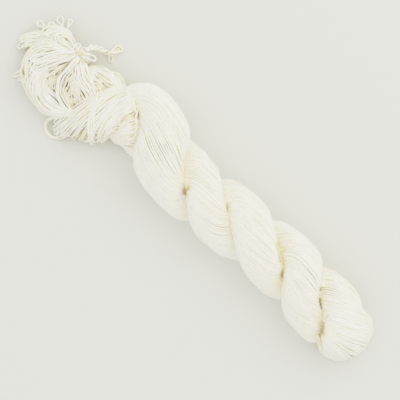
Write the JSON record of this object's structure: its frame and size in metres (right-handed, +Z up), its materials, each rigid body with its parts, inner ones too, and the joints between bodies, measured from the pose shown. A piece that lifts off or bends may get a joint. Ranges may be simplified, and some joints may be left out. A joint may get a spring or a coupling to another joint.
{
  "type": "skein of wool yarn",
  "caption": "Twisted hank of cream wool yarn, folded into a plump rope with a rounded end, a collar of loops and a loose tuft gathered by a knotted tie.",
  "frame": {"origin": "on the table under the middle of the hank, without the free end of its tie", "axes": "+X along the rope from the loose tuft to the rounded folded end, +Y across it towards the side where the tie sits, +Z up from the table"},
  "size_m": [0.3437, 0.0847, 0.045],
  "materials": {
    "wool": "undyed plied wool, matt and softly fuzzy",
    "tie_wool": "the same wool twisted into a thin tie, matt"
  },
  "bodies": {
    "root": {"hank": "wool", "tie": "tie_wool", "tie_end": "tie_wool", "end_knot": "tie_wool"}
  },
  "joints": []
}
